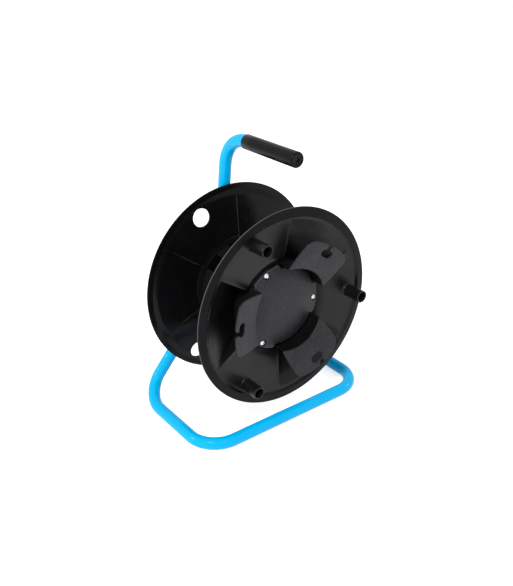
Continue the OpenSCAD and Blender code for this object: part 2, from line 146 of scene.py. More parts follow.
def pathFrames(path, closed):
    # tangent at each station, and two directions across it that turn as little as possible
    tangent = np.roll(path, -1, 0) - np.roll(path, 1, 0) if closed else np.gradient(path, axis=0)
    tangent /= np.linalg.norm(tangent, axis=1)[:, None]
    first = np.cross(tangent[0], (0.31, 0.52, 0.79))
    across = [first / np.linalg.norm(first)]
    for t in tangent[1:]:
        kept = across[-1] - t * (across[-1] @ t)
        across.append(kept / np.linalg.norm(kept))
    across = np.array(across)
    return across, np.cross(tangent, across)


def carriedCircle(path, radius, around=40, closed=False):
    # circle of the given radius carried along a path; each open end is capped with one flat face
    across, over = pathFrames(path, closed)
    angle = np.linspace(0, 2 * np.pi, around, endpoint=False)
    radius = np.broadcast_to(radius, len(path))[:, None, None]
    ring = across[:, None] * np.cos(angle)[None, :, None] + over[:, None] * np.sin(angle)[None, :, None]
    points = (path[:, None] + radius * ring).reshape(-1, 3)
    rows = len(path)
    if not closed:
        return flipped((points, cappedGrid(rows, around)))
    last = (rows - 1) * around
    a, b = last + np.arange(around), last + (np.arange(around) + 1) % around
    seam = np.stack([a, b, b - last, a - last], -1)
    return points, gridQuads(rows, around)[:, ::-1].tolist() + seam.tolist()


def turnedProfile(profile, place, around=72):
    # profile of (radius, height) pairs turned about an axis; place maps (x, y, height) to the world
    radius, height = np.array(profile, float).T[:, :, None]
    angle = np.linspace(0, 2 * np.pi, around, endpoint=False)
    points = place(radius * np.cos(angle), radius * np.sin(angle), height + 0 * angle)
    return points.reshape(-1, 3), cappedGrid(len(profile), around)


def plate(loop, topAt, bottomAt, edge, place):
    # flat or curved plate from an outline: at both rims rings step in by edge * (1 - sin) and down by
    # edge * (1 - cos). At a sharp corner the step in stays under 0.6 of the corner's radius, which is
    # length / turn, so that no ring crosses itself
    ahead, behind = np.roll(loop, -1, 0) - loop, loop - np.roll(loop, 1, 0)
    turn = np.arctan2(behind[:, 0] * ahead[:, 1] - behind[:, 1] * ahead[:, 0], (behind * ahead).sum(1))
    cornerRadius = np.min(rolled(np.linalg.norm(ahead, axis=1) / np.maximum(turn, 1e-3), 4), 0)
    narrow = np.mean(rolled(np.minimum(1, 0.6 * cornerRadius / edge), 2), 0)
    tangent = np.roll(loop, -1, 0) - np.roll(loop, 1, 0)
    tangent /= np.linalg.norm(tangent, axis=1)[:, None]
    outward = np.stack([tangent[:, 1], -tangent[:, 0]], -1)
    angle = np.linspace(0, np.pi / 2, 5)[:, None]
    stepIn = np.concatenate([edge * (1 - np.sin(angle)), edge * (1 - np.sin(angle[::-1]))])
    drop = edge * (1 - np.cos(angle))
    ring = loop[None] - outward[None] * (stepIn * narrow)[:, :, None]
    x, y = ring[..., 0], ring[..., 1]
    half = len(angle)
    height = np.concatenate([topAt(x[:half], y[:half]) - drop, bottomAt(x[half:], y[half:]) + drop[::-1]])
    return place(x, y, height).reshape(-1, 3), cappedGrid(2 * half, len(loop))


def flipped(part):
    # the same points with every face turned round
    return part[0], [face[::-1] for face in part[1]]


def newObject(name, data):
    # object linked into the scene
    made = bpy.data.objects.new(name, data)
    bpy.context.scene.collection.objects.link(made)
    return made


def makePiece(name, parts, material, body, node, sharp=38):
    # joins the parts into one mesh, shades it smooth up to the sharp angle, and ties it to the frame
    points = np.concatenate([part[0] for part in parts]) / perMetre
    faces, start = [], 0
    for part in parts:
        faces += [[index + start for index in face] for face in part[1]]
        start += len(part[0])
    mesh = bpy.data.meshes.new(name)
    mesh.from_pydata(points.tolist(), [], faces)
    mesh.validate()
    mesh.shade_smooth()
    mesh.set_sharp_from_angle(angle=math.radians(sharp))
    mesh.materials.append(material)
    piece = newObject(name, mesh)
    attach(piece, body)
    if node:
        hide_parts(node)
    return piece


def fromDisplay(display):
    # display values 0..255 to linear light
    value = np.array(display) / 255
    linear = np.where(value > 0.04045, ((value + 0.055) / 1.055) ** 2.4, value / 12.92)
    return (*linear.tolist(), 1)


def newMaterial(name):
    # material with its node tree and its shader
    material = bpy.data.materials.new(name)
    material.use_nodes = True
    tree = material.node_tree
    return material, tree, tree.nodes["Principled BSDF"]


def add(tree, kind, **values):
    # new node, with its properties and inputs set by name
    node = tree.nodes.new(kind)
    for key, value in values.items():
        if hasattr(node, key):
            setattr(node, key, value)
        else:
            node.inputs[key].default_value = value
    return node


def noise(tree, scale, detail=3.0, roughness=0.55, stretch=(1, 1, 1)):
    # noise on object coordinates; scale counts spots for each metre
    place = add(tree, "ShaderNodeTexCoord")
    turn = add(tree, "ShaderNodeMapping", Scale=stretch)
    spots = add(tree, "ShaderNodeTexNoise", Scale=scale, Detail=detail, Roughness=roughness)
    tree.links.new(place.outputs["Object"], turn.inputs["Vector"])
    tree.links.new(turn.outputs["Vector"], spots.inputs["Vector"])
    return spots.outputs["Fac"]


def span(tree, source, low, high, fromLow=0.3, fromHigh=0.7):
    # spreads a value between two limits
    limits = {"From Min": fromLow, "From Max": fromHigh, "To Min": low, "To Max": high}
    mapped = add(tree, "ShaderNodeMapRange", **limits)
    tree.links.new(source, mapped.inputs["Value"])
    return mapped.outputs["Result"]


def larger(tree, first, second):
    # the larger of two values
    either = add(tree, "ShaderNodeMath", operation="MAXIMUM")
    tree.links.new(first, either.inputs[0])
    tree.links.new(second, either.inputs[1])
    return either.outputs[0]


def blendColour(tree, factor, first, second):
    # mixes two colours, or a colour socket and a colour
    mix = add(tree, "ShaderNodeMix", data_type="RGBA")
    tree.links.new(factor, mix.inputs["Factor"])
    for socket, value in ((mix.inputs["A"], first), (mix.inputs["B"], second)):
        if hasattr(value, "is_output"):
            tree.links.new(value, socket)
        else:
            socket.default_value = value
    return mix.outputs["Result"]


def bump(tree, shader, layers):
    # stacks bump layers of (what the noise is made with, distance in metres, strength)
    below = None
    for spots, distance, strength in layers:
        node = add(tree, "ShaderNodeBump", Strength=strength, Distance=distance)
        tree.links.new(noise(tree, *spots), node.inputs["Height"])
        if below:
            tree.links.new(below, node.inputs["Normal"])
        below = node.outputs["Normal"]
    tree.links.new(below, shader.inputs["Normal"])


def drumZones(tree, look):
    # matt: 0 on the dish, up to 1 on the rim and below a depth behind it; the painted highlight on the rim: up to
    # 1 on the outer edge.
    # Both come from the distance to the axle and the depth, in metres
    place = add(tree, "ShaderNodeTexCoord").outputs["Object"]
    flat = add(tree, "ShaderNodeVectorMath", operation="MULTIPLY_ADD")
    tree.links.new(place, flat.inputs[0])
    flat.inputs[1].default_value = (1, 0, 1)
    flat.inputs[2].default_value = (-axle["x"] / perMetre, 0, -axle["z"] / perMetre)
    length = add(tree, "ShaderNodeVectorMath", operation="LENGTH")
    tree.links.new(flat.outputs["Vector"], length.inputs[0])
    radius = length.outputs["Value"]
    split = add(tree, "ShaderNodeSeparateXYZ")
    tree.links.new(place, split.inputs[0])
    start, end = look["mattRadii"]
    rim = span(tree, radius, 0, look["mattRim"], start, end)
    mattFrom = (axle["y"] - drum["halfWidth"]) / perMetre + look["mattDepth"]
    deep = span(tree, split.outputs["Y"], 0, 1, mattFrom, mattFrom + look["mattFade"])
    return larger(tree, rim, deep), span(tree, radius, 0, look["rimHighlightShare"], *look["rimHighlightRadii"])


def cloudyMaterial(look):
    # colour: two tones mixed by clouds of noise, speckled by the grain, lightened on sharp edges as a painted
    # highlight, and blended to a lighter tone on the rim's outer edge as a painted highlight; matt zones shine
    # less.
    # Roughness drifts between two limits, and bumps are stacked from noise. Noise is given by its spots for each
    # metre, detail, roughness and stretch
    material, tree, shader = newMaterial(look["name"])
    shader.inputs["Specular IOR Level"].default_value = look["specular"]
    shader.inputs["Metallic"].default_value = look.get("metallic", 0)
    clouds = span(tree, noise(tree, *look["clouds"]), 0, 1)
    drift = noise(tree, *look["drift"])
    colour = blendColour(tree, clouds, *(fromDisplay(tone) for tone in look["tones"]))
    # the grain's speckle takes the same light tone as the painted edge highlight
    if "speckle" in look:
        colour = blendColour(tree, span(tree, drift, *look["speckle"]), colour, fromDisplay(look["worn"]))
    # painted highlight: sharp edges are lightened towards the given light tone
    if "worn" in look:
        pointed = add(tree, "ShaderNodeNewGeometry").outputs["Pointiness"]
        edgeHighlight = span(tree, pointed, 0, 1, *look["wornFrom"])
        colour = blendColour(tree, edgeHighlight, colour, fromDisplay(look["worn"]))
    # painted highlight: the rim's outer edge is blended to a lighter tone
    if "rimHighlight" in look:
        matt, rimHighlight = drumZones(tree, look)
        colour = blendColour(tree, rimHighlight, colour, fromDisplay(look["rimHighlight"]))
        gloss = span(tree, matt, look["specular"], look["mattSpecular"], 0, 1)
        tree.links.new(gloss, shader.inputs["Specular IOR Level"])
    tree.links.new(colour, shader.inputs["Base Color"])
    tree.links.new(span(tree, drift, *look["roughness"]), shader.inputs["Roughness"])
    bump(tree, shader, look["bumps"])
    return material


# in every look, the light tone given for sharp edges is a painted highlight, not wear
bluePaint = {"name": "bluePowderPaint", "tones": ((0, 178, 240), (0, 184, 244)), "clouds": (26, 4),
             "worn": (20, 190, 244), "wornFrom": (0.56, 0.66), "specular": 0.13, "roughness": (0.02, 0.05),
             "drift": (160, 3), "bumps": [((260, 2), 0.00002, 0.35), ((2600, 2), 0.000004, 0.2)]}
# the drum's mouldings: gloss behind, satin in front, and a darker, duller copy on the core and the wing walls,
# which is painted shade where they sit deep between the flanges
fineBump = ((1900, 3), 0.000005, 0.2)
glossBlack = {"name": "glossBlackPlastic", "tones": ((9, 9, 10), (15, 15, 17)), "worn": (30, 30, 32),
              "wornFrom": (0.6, 0.72), "clouds": (22, 5, 0.6, (1, 0.4, 1)), "drift": (130, 4, 0.6),
              "specular": 0.11, "roughness": (0.14, 0.24), "bumps": [((55, 1), 0.0002, 0.2), fineBump]}
# on the satin, the lighter tone laid on the rim's outer edge is a painted highlight
satinBlack = {**glossBlack, "name": "satinBlackPlastic", "tones": ((12, 12, 13), (20, 20, 22)),
              "worn": (70, 70, 72), "wornFrom": (0.53, 0.62), "specular": 0.2, "roughness": (0.26, 0.36),
              "bumps": [((26, 1), 0.0001, 0.2), fineBump], "mattRadii": (0.1324, 0.1336), "mattRim": 0.85,
              "mattDepth": 0.0085, "mattFade": 0.008, "mattSpecular": 0.05, "rimHighlightRadii": (0.1444, 0.1448),
              "rimHighlightShare": 0.8, "rimHighlight": (84, 84, 86)}
shadedCoreBlack = {**glossBlack, "name": "shadedCoreBlackPlastic", "tones": ((5, 5, 6), (10, 10, 11)),
             "worn": (60, 60, 62), "specular": 0.03, "roughness": (0.30, 0.42),
             "bumps": [((60, 1), 0.0002, 0.2), fineBump]}
# cover and wings: the drift is their grain, which also speckles the colour
grainedBlack = {"name": "grainedBlackPlastic", "tones": ((20, 20, 23), (29, 29, 33)), "clouds": (34, 4),
                "worn": (84, 84, 90), "wornFrom": (0.56, 0.66), "speckle": (0, 0.4, 0.45, 0.75),
                "drift": (560, 4, 0.65), "specular": 0.25, "roughness": (0.40, 0.56),
                "bumps": [((560, 4, 0.65), 0.00024, 0.45), ((60, 2), 0.0002, 0.15)]}
gripVinyl = {"name": "gripVinyl", "tones": ((12, 12, 14), (18, 18, 20)), "clouds": (70, 4),
             "worn": (130, 130, 134), "wornFrom": (0.57, 0.68), "specular": 0.1, "roughness": (0.18, 0.26),
             "drift": (420, 4), "bumps": [((1100, 3), 0.00001, 0.25), ((60, 2), 0.0002, 0.15)]}
zincSteel = {"name": "zincSteel", "tones": ((236, 237, 236), (222, 223, 218)), "clouds": (300, 4),
             "worn": (244, 244, 243), "wornFrom": (0.55, 0.7), "specular": 0.5, "metallic": 1,
             "roughness": (0.22, 0.38), "drift": (900, 4),
             "bumps": [((1400, 3, 0.6, (1, 1, 0.3)), 0.00002, 0.4)]}
plugPlastic = {"name": "plugPlastic", "tones": ((26, 26, 26), (38, 38, 38)), "clouds": (120, 4),
               "specular": 0.5, "roughness": (0.38, 0.52), "drift": (700, 3),
               "bumps": [((1600, 3), 0.00002, 0.4)]}
bushPlastic = {**plugPlastic, "name": "bushPlastic", "tones": ((214, 208, 190), (226, 221, 206)),
               "roughness": (0.3, 0.42)}

looks = {"blue_paint": bluePaint, "gloss_black": glossBlack, "grained_black": grainedBlack,
         "grip_vinyl": gripVinyl, "zinc_steel": zincSteel, "black_plastic": plugPlastic,
         "bush_plastic": bushPlastic}
finish = {slot: cloudyMaterial(look) for slot, look in looks.items()}
satinFinish, shadedCoreFinish = cloudyMaterial(satinBlack), cloudyMaterial(shadedCoreBlack)
for nodeName, slotName in slotOf.items():
    surfaces = frame["nodes"][nodeName].data.materials
    surfaces.clear()
    surfaces.append(finish[slotName])
print("finishes ready:", len(finish))


standPlan = {"tubeRadius": 9, "baseWidth": 306.5, "barInFrontOfRim": 8.5, "legsBehindRim": 32,
             "legsBelowAxle": 5, "frontBend": 44, "legBend": 42, "lean": 8.1, "armHeight": 396,
             "armBend": 51, "footBelow": 22, "legStart": 3, "tubeInGrip": 5, "handlePlay": 0.05}


def standPoints(plan):
    # where the legs meet, the post's direction, the corner between post and arm, and the base's sides
    lean = math.radians(plan["lean"])
    legsY = axle["y"] + drum["halfWidth"] + plan["legsBehindRim"]
    apex = np.array([0, legsY, axle["z"] - plan["legsBelowAxle"]])
    up = np.array([0, -math.sin(lean), math.cos(lean)])
    armCorner = apex + up * (plan["armHeight"] - apex[2]) / math.cos(lean)
    barY = axle["y"] - drum["halfWidth"] - plan["barInFrontOfRim"]
    return {"apex": apex, "up": up, "armCorner": armCorner, "barY": barY,
            "side": plan["baseWidth"] / 2 - plan["tubeRadius"]}


def baseTube(plan, at):
    # circle carried along leg, side bar, front bar, side bar and leg; both ends stop inside the post
    low, side, apex, barY = plan["tubeRadius"], at["side"], at["apex"], at["barY"]
    corners = [(-side, apex[1], low), (-side, barY, low), (side, barY, low), (side, apex[1], low)]
    legs = [np.array(corner) - apex for corner in (corners[0], corners[3])]
    ends = [apex + leg / np.linalg.norm(leg) * plan["legStart"] for leg in legs]
    bends = [plan["legBend"], plan["frontBend"], plan["frontBend"], plan["legBend"]]
    return [carriedCircle(roundedLine([ends[0], *corners, ends[1]], bends, 3), plan["tubeRadius"], 48)]


def handleTube(plan, at):
    # circle carried up the leaning post, round the bend and along the arm to just behind the grip's end
    foot = at["apex"] - at["up"] * plan["footBelow"] / math.cos(math.radians(plan["lean"]))
    armEnd = (0, nodeBox("grip")[0][1] + plan["tubeInGrip"], plan["armHeight"])
    path = roundedLine([foot, at["armCorner"], armEnd], [plan["armBend"]], 3)
    return [carriedCircle(path, plan["tubeRadius"] - plan["handlePlay"], 48)]


weldPlan = {"beadRadius": 1.7, "ripple": 0.22, "ripplesAround": 34, "bossRipples": 60, "bossEnds": 3,
            "thinnest": 0.02}


def legBead(plan, stand, at, hand):
    # rippled bead where a leg's surface meets the post's: along the leg, a t^2 + 2 b t + c = 0
    apex, up, radius = at["apex"], at["up"], stand["tubeRadius"]
    angle = np.linspace(0, 2 * np.pi, 170, endpoint=False)
    leg = np.array([hand * at["side"], 0, radius - apex[2]])
    leg /= np.linalg.norm(leg)
    first = np.array([0, 1.0, 0])
    second = np.cross(leg, first)
    around = radius * (np.cos(angle)[:, None] * first + np.sin(angle)[:, None] * second)
    flatLeg = leg - up * (leg @ up)
    flatAround = around - up * (around @ up)[:, None]
    a, b = flatLeg @ flatLeg, flatAround @ flatLeg
    c = (flatAround ** 2).sum(1) - radius ** 2
    along = (-b + np.sqrt(np.maximum(b * b - a * c, 0))) / a
    line = np.mean(rolled(apex + along[:, None] * leg + around, 3), 0)
    size = plan["beadRadius"] + plan["ripple"] * np.sin(angle * plan["ripplesAround"])
    return carriedCircle(line, size, 12, closed=True)


def bossBead(plan, stand, at):
    # bead over the axle boss where it meets the post, thinning out to both ends
    apex, radius = at["apex"], stand["tubeRadius"]
    low, high = nodeBox("axle_boss")
    bossRadius, middle = (high[0] - low[0]) / 2, math.pi / 2
    half = math.asin(radius / bossRadius) - math.radians(plan["bossEnds"])
    turn = np.linspace(middle - half, middle + half, 60)
    x, z = bossRadius * np.cos(turn), axle["z"] + bossRadius * np.sin(turn)
    centreY = apex[1] - (z - apex[2]) * math.tan(math.radians(stand["lean"]))
    y = centreY - np.sqrt(radius ** 2 - x ** 2)
    fade = np.sqrt(np.clip(1 - ((turn - middle) / half) ** 2, plan["thinnest"], 1))
    size = fade * (plan["beadRadius"] + plan["ripple"] * np.sin(turn * plan["bossRipples"]))
    return carriedCircle(np.stack([x, y, z], -1), size, 12)


gripPlan = {"endRound": 2.2, "holeRadius": 2.5, "holeDepth": 3.4, "dishDepth": 0.5, "dishRadius": 6.6,
            "overTube": 0.2}


def grip(plan, stand):
    # profile turned about the arm: end hole, shallow dish, round shoulder, sleeve, thin rear lip
    low, high = nodeBox("grip")
    outer, length = (high[0] - low[0]) / 2, high[1] - low[1]
    bend = np.linspace(0, np.pi / 2, 9)
    r, hole, deep, dish = plan["endRound"], plan["holeRadius"], plan["dishDepth"], plan["dishRadius"]
    profile = [(0.05, plan["holeDepth"]), (hole, plan["holeDepth"]), (hole, deep + 0.4), (hole + 0.4, deep),
               (dish - 0.6, deep), (dish, deep * 0.6), (dish + 0.5, 0)]
    profile += [(outer - r + r * math.sin(a), r - r * math.cos(a)) for a in bend]
    profile += [(outer, share * length) for share in (0.2, 0.4, 0.6, 0.8)]
    profile += [(outer, length - 0.7), (outer - 0.2, length - 0.2), (outer - 0.7, length),
                (stand["tubeRadius"] - plan["overTube"], length)]
    place = lambda x, y, h: np.stack([x, low[1] + h, stand["armHeight"] + y], -1)
    return [turnedProfile(profile, place, 64)]


standAt = standPoints(standPlan)
beads = [legBead(weldPlan, standPlan, standAt, hand) for hand in (-1, 1)]
beads.append(bossBead(weldPlan, standPlan, standAt))
makePiece("baseTube", baseTube(standPlan, standAt), finish["blue_paint"], "stand", "base_tube")
makePiece("handleTube", handleTube(standPlan, standAt), finish["blue_paint"], "stand", "handle_tube")
makePiece("weldBeads", beads, finish["blue_paint"], "stand", None)
makePiece("gripSleeve", grip(gripPlan, standPlan), finish["grip_vinyl"], "stand", "grip")
print("stand built")


# radii and depths behind the rim that both flanges share. The columns between two walls reach columnEnd of
# the way, less a taper; backIn and riserBackIn move the back outward where the profile bends
flangePlan = {"crest": 133.4, "dish": 131, "start": 1.9, "webDepth": 15, "webHole": 20, "webWall": 3,
              "edgeDrop": 0.9, "edgeSoft": 0.35, "rimBack": 2.0, "pocketStart": 127, "topRound": 0.8,
              "footRound": 1.6, "draft": 0.4, "slotIn": 61.5, "slotOut": 64.35, "coreSide": 66,
              "rimSide": 90, "columnEnd": 0.94, "sectorTaper": 3.4, "pocketTaper": 2.6, "backIn": 1.2,
              "riserBackIn": 2.2}
frontPlan = {"facing": 1, "hub": 11.3, "pocket": 34, "pocketIn": 61.5, "pocketSoft": 0, "pocketAt": 60,
             "riserTop": 75, "riserFoot": 65.5, "riserDepth": 14.8, "soft": 2.6, "slots": True, "holes": 0,
             "rise": 1.3, "rimSoft": 0.8, "bead": 0.6}
rearPlan = {"facing": -1, "hub": 6.5, "pocket": 11.3, "pocketIn": 64.2, "pocketSoft": 0.3, "pocketAt": 0,
            "riserTop": 64.5, "riserFoot": 64.1, "riserDepth": 15, "soft": 0.4, "slots": False,
            "holes": 26.4, "rise": 0.1, "rimSoft": 3.2, "bead": 0}


def coneDepth(plan, hubDepth, radius):
    # depth of the dish's cone at a radius, straight from the dish's edge to the core
    dish, start = plan["dish"], plan["start"]
    return start + (hubDepth - start) * (dish - radius) / (dish - drum["coreRadius"])


def flangeRows(plan):
    # radii of the rows: close together wherever the profile bends
    edge = drum["radius"] - plan["edgeDrop"] * (1 - np.sin(np.linspace(0, np.pi / 2, 6)))
    return np.concatenate([np.linspace(plan["webHole"], 60, 8), [61.5, 61.6, 62.6, 63.7, 64.35, 64.7],
                           np.arange(65.1, 69.5, 0.4), np.arange(70, 76, 1), np.linspace(77, 103, 14),
                           np.arange(104.5, 125, 1.3), np.arange(125.4, 129, 0.45),
                           np.arange(129.2, 135.6, 0.3), np.linspace(136.4, 143.6, 6), edge])


def flangeDepths(plan, own, rows):
    # depth over radius on a shallow sector and in a pocket: bent lines with round corners and one rim
    web, foot, pocketIn = plan["webDepth"], own["riserFoot"], own["pocketIn"]
    pocketTop = coneDepth(plan, own["hub"], plan["pocketStart"])
    slope = (own["pocket"] - pocketTop) / (plan["pocketStart"] - drum["coreRadius"])
    pocketLow = pocketTop + slope * (plan["pocketStart"] - pocketIn)
    rim = [(plan["dish"], plan["start"]), (plan["crest"], -own["rise"]), (drum["radius"], 0),
           (drum["radius"] + 5, 0)]
    sectorLine = [(0, web), (foot - 2, web), (foot - 1, own["riserDepth"]), (foot, own["riserDepth"]),
                  (own["riserTop"], coneDepth(plan, own["hub"], own["riserTop"]))] + rim
    pocketLine = [(0, web), (pocketIn, web), (pocketIn + 0.1, pocketLow),
                  (plan["pocketStart"], pocketTop)] + rim
    sector = np.where(rows < plan["rimSide"], smoothed(rows, sectorLine, own["soft"]),
                      smoothed(rows, sectorLine, own["rimSoft"]))
    pocket = np.where(rows < plan["coreSide"], smoothed(rows, pocketLine, own["pocketSoft"]),
                      smoothed(rows, pocketLine, own["rimSoft"] + 0.1))
    return sector[:, None], np.maximum(pocket, sector)[:, None]


def flangeColumns(plan, own, sector, pocket):
    # one third of the flange as four blocks of columns: wall, shallow sector, wall, pocket. Over a wall the
    # columns follow a cross-section: round crest with a bead, steep wall, round foot. Each block has the
    # angle, the sideways shift, the depth, the shift of its back, which lies one wall thickness towards the
    # shallow sector, and its share of pocket
    deeper, one = pocket - sector, np.ones_like(sector)
    bend = np.linspace(0, np.pi / 2, 6)[None, :]
    top, foot = np.minimum(plan["topRound"], deeper / 2), np.minimum(plan["footRound"], deeper / 2)
    bead = own["bead"] * np.clip(deeper / 4, 0, 1)
    wallShift = np.concatenate([-plan["topRound"] * one + np.array([[-1.9, -1.3, -0.7]]),
                                -plan["topRound"] * (1 - np.sin(bend)) * one,
                                plan["draft"] + plan["footRound"] * (1 - np.sin(bend[:, ::-1])) * one], 1)
    wallDepth = np.concatenate([-bead * np.array([[0, 0.35, 0.85]]),
                                top * (1 - np.cos(bend)) - bead * np.cos(bend),
                                deeper - foot * (1 - np.cos(bend[:, ::-1]))], 1)
    end, quarter = plan["columnEnd"], pitch / 4
    plain = np.linspace(-end, end, 25)
    fine = np.concatenate([np.linspace(-end, -0.3, 12), np.linspace(-0.28, 0.28, 29),
                           np.linspace(0.3, end, 12)])
    across = fine if own["holes"] else plain
    lean = drum["wall"] * np.clip(deeper / 3, 0, 1)
    towardsEnd = lambda at: at / end * np.abs(at) ** 3
    blocks = [
        (-quarter * one, -wallShift[:, ::-1], sector + wallDepth[:, ::-1], lean, 0.5),
        (quarter * plain, -plan["sectorTaper"] * plain, sector + 0 * plain, -lean * towardsEnd(plain), 0.0),
        (quarter * one, wallShift, sector + wallDepth, -lean, 0.5),
        (2 * quarter + quarter * across, -plan["pocketTaper"] * across, pocket + 0 * across,
         lean * towardsEnd(across), 1.0),
    ]
    grids = zip(*(np.broadcast_arrays(*block) for block in blocks))
    angle, shift, depth, backShift, share = (np.concatenate(grid, 1) for grid in grids)
    return angle, shift, depth, backShift, share[0]


def holeEdge(centre, hole, x, y):
    # which points lie inside a round hole, which of them are next to its edge, and these drawn onto it
    cx, cy = centre
    far = np.hypot(x - cx, y - cy)
    inside = far < hole
    near = inside & np.any([np.roll(~inside, (a, b), (0, 1)) for a in (-1, 0, 1) for b in (-1, 0, 1)], 0)
    scale = np.where(near, hole / np.maximum(far, 1e-6), 1)
    return inside, near, cx + (x - cx) * scale, cy + (y - cy) * scale


def thickSheet(keep, count):
    # faces of a front sheet, a back sheet, and walls along every open border between kept and missing cells
    total = (keep.shape[0] + 1) * count
    i, j = np.nonzero(keep)
    nextJ = (j + 1) % count
    corner = [i * count + j, (i + 1) * count + j, (i + 1) * count + nextJ, i * count + nextJ]
    front = np.stack(corner, -1)
    faces = [front, front[:, ::-1] + total]
    padded = np.pad(keep, ((1, 1), (0, 0)))
    neighbours = [padded[i + 1, (j - 1) % count], padded[i + 2, j], padded[i + 1, nextJ], padded[i, j]]
    for side, neighbour in enumerate(neighbours):
        a, b = corner[side][~neighbour], corner[(side + 1) % 4][~neighbour]
        faces.append(np.stack([b, a, a + total, b + total], -1))
    return np.concatenate(faces)


def flangeShell(plan, own):
    # front and back sheet on one grid: rows run outward in radius, columns round the drum
    rows = flangeRows(plan)
    angle, shift, depth, backShift, share = flangeColumns(plan, own, *flangeDepths(plan, own, rows))
    radius, arms = rows[:, None] + 0 * angle, drum["arms"]
    degrees, backDegrees = (np.concatenate([angle + np.degrees(by / radius) + turn for turn in armTurns], 1)
                            + own["pocketAt"] - pitch / 2 for by in (shift, shift + backShift))
    radius, depth, share = np.tile(radius, arms), np.tile(depth, arms), np.tile(share, arms)

    outer, soft = drum["radius"], plan["edgeSoft"]
    edge = np.clip((rows - (outer - plan["edgeDrop"])) / plan["edgeDrop"], 0, 1)[:, None]
    rimShift = np.interp(rows, [0, 125, 131, 134, outer], [0, 0, plan["backIn"], plan["backIn"], 0])[:, None]
    riserShift = np.interp(rows, [0, 58, own["riserFoot"] - 0.6, own["riserTop"] + 1, 82],
                           [0, 0, plan["riserBackIn"], plan["riserBackIn"], 0])[:, None]
    backRadius = radius + rimShift + riserShift * ((share < 0.2) | (not own["slots"]))
    walls = [plan["webWall"], plan["webWall"], drum["wall"], drum["wall"], plan["rimBack"]]
    thickness = np.interp(rows, [0, 60, plan["coreSide"], 134, outer], walls)[:, None]
    backDepth = depth + thickness - soft * edge
    frontDepth = depth + plan["edgeDrop"] * (1 - np.sqrt(np.clip(1 - edge ** 2, 0, 1)))

    x, y = polar(radius, degrees)
    bx, by = polar(backRadius, backDegrees)
    outside = np.ones(x.shape, bool)
    for turn in armTurns if own["holes"] else ():
        inside, near, x, y = holeEdge(polar(drum["armCircle"], turn), own["holes"] / 2, x, y)
        bx, by = np.where(near, x, bx), np.where(near, y, by)
        frontDepth, backDepth = frontDepth + soft * near, backDepth - soft * near
        outside &= ~inside
    cellOutside = outside | np.roll(outside, -1, 1)
    keep = cellOutside[:-1] | cellOutside[1:]
    if own["slots"]:
        inSlot = (radius[:-1] >= plan["slotIn"] - 0.05) & (radius[1:] <= plan["slotOut"] + 0.05)
        keep &= ~(inSlot & (share > 0.8) & np.roll(share > 0.8, -1))
    front = onDrum(x, y, own["facing"] * (drum["halfWidth"] - frontDepth)).reshape(-1, 3)
    back = onDrum(bx, by, own["facing"] * (drum["halfWidth"] - backDepth)).reshape(-1, 3)
    part = (np.concatenate([front, back]), thickSheet(keep, x.shape[1]).tolist())
    return part if own["facing"] > 0 else flipped(part)


pegPlan = {"radius": 9, "bore": 7, "tip": 91.5, "root": 2.2, "sunk": 1, "flareBelow": 0.4,
           "flareHeight": 2.6, "straightEnd": 12, "tipRound": 0.6, "boreDepth": 25, "boreChamfer": 1}


def pegs(plan):
    # turned profile: flared root, straight side, round lip, bore with a flat bottom
    bend = np.linspace(0, np.pi / 2, 5)
    base = drum["halfWidth"] - coneDepth(flangePlan, frontPlan["hub"], drum["armCircle"])
    r, side, bore, tip, root = plan["tipRound"], plan["radius"], plan["bore"], plan["tip"], plan["root"]
    bottom, flareAt, rise = tip - plan["boreDepth"], base - plan["flareBelow"], plan["flareHeight"]
    profile = [(0.05, base - plan["sunk"]), (side + root, base - plan["sunk"])]
    profile += [(side + root * (1 - math.sin(a)), flareAt + rise * (1 - math.cos(a))) for a in bend]
    profile += [(side, tip - plan["straightEnd"])]
    profile += [(side - r + r * math.cos(a), tip - r + r * math.sin(a)) for a in bend]
    profile += [(bore + r - r * math.sin(a), tip - r + r * math.cos(a)) for a in bend]
    profile += [(bore, bottom + plan["boreChamfer"]), (bore - plan["boreChamfer"], bottom), (0.05, bottom)]
    made = []
    for turn in armTurns:
        cx, cy = polar(drum["armCircle"], turn)
        made.append(flipped(turnedProfile(profile, lambda x, y, h: onDrum(x + cx, y + cy, h), 56)))
    return made


frontParts = [flangeShell(flangePlan, frontPlan)] + pegs(pegPlan)
rearParts = [flangeShell(flangePlan, rearPlan)]
makePiece("frontFlange", frontParts, satinFinish, "drum", "front_flange", 50)
makePiece("rearFlange", rearParts, finish["gloss_black"], "drum", "rear_flange", 50)
print("flanges built")


corePlan = {"outer": 64.3, "inner": 61.9, "wingHalf": 29, "wallHalf": 36.7, "wallEdge": 0.7,
            "towerHalf": 9.5, "reach": 47, "towerCircle": 58.4, "towerRadius": 5.5, "hubOuter": 15,
            "hubInner": 9.1, "hubReach": 44, "ribReach": 41, "rib": 2.4, "ribEdge": 0.5}


def curvedWall(plan, half, low, topAt, turn, stations=42):
    # four-cornered section carried round the axle, whose ends are rounded in plan: there each side steps in
    # by edge - sqrt(edge^2 - distance^2)
    edge = plan["wallEdge"]
    fromEnd = edge * (1 - np.cos(np.linspace(0, np.pi / 2, 6)))
    ends = half - np.degrees(fromEnd / plan["outer"])
    degrees = np.concatenate([-ends, np.linspace(-ends[-1], ends[-1], stations + 2)[1:-1], ends[::-1]])
    inset = edge - np.sqrt(np.clip(edge ** 2 - (edge - fromEnd) ** 2, 0, None))
    inset = np.concatenate([inset, np.zeros(stations), inset[::-1]])
    inner, outer = plan["inner"] + inset, plan["outer"] - inset
    x, y = polar(np.stack([inner, outer, outer, inner], -1), degrees[:, None])
    height = np.where(np.array([True, True, False, False]), low, topAt(x, y))
    return turnedBy(turn)(x, y, height).reshape(-1, 3), cappedGrid(len(degrees), 4)


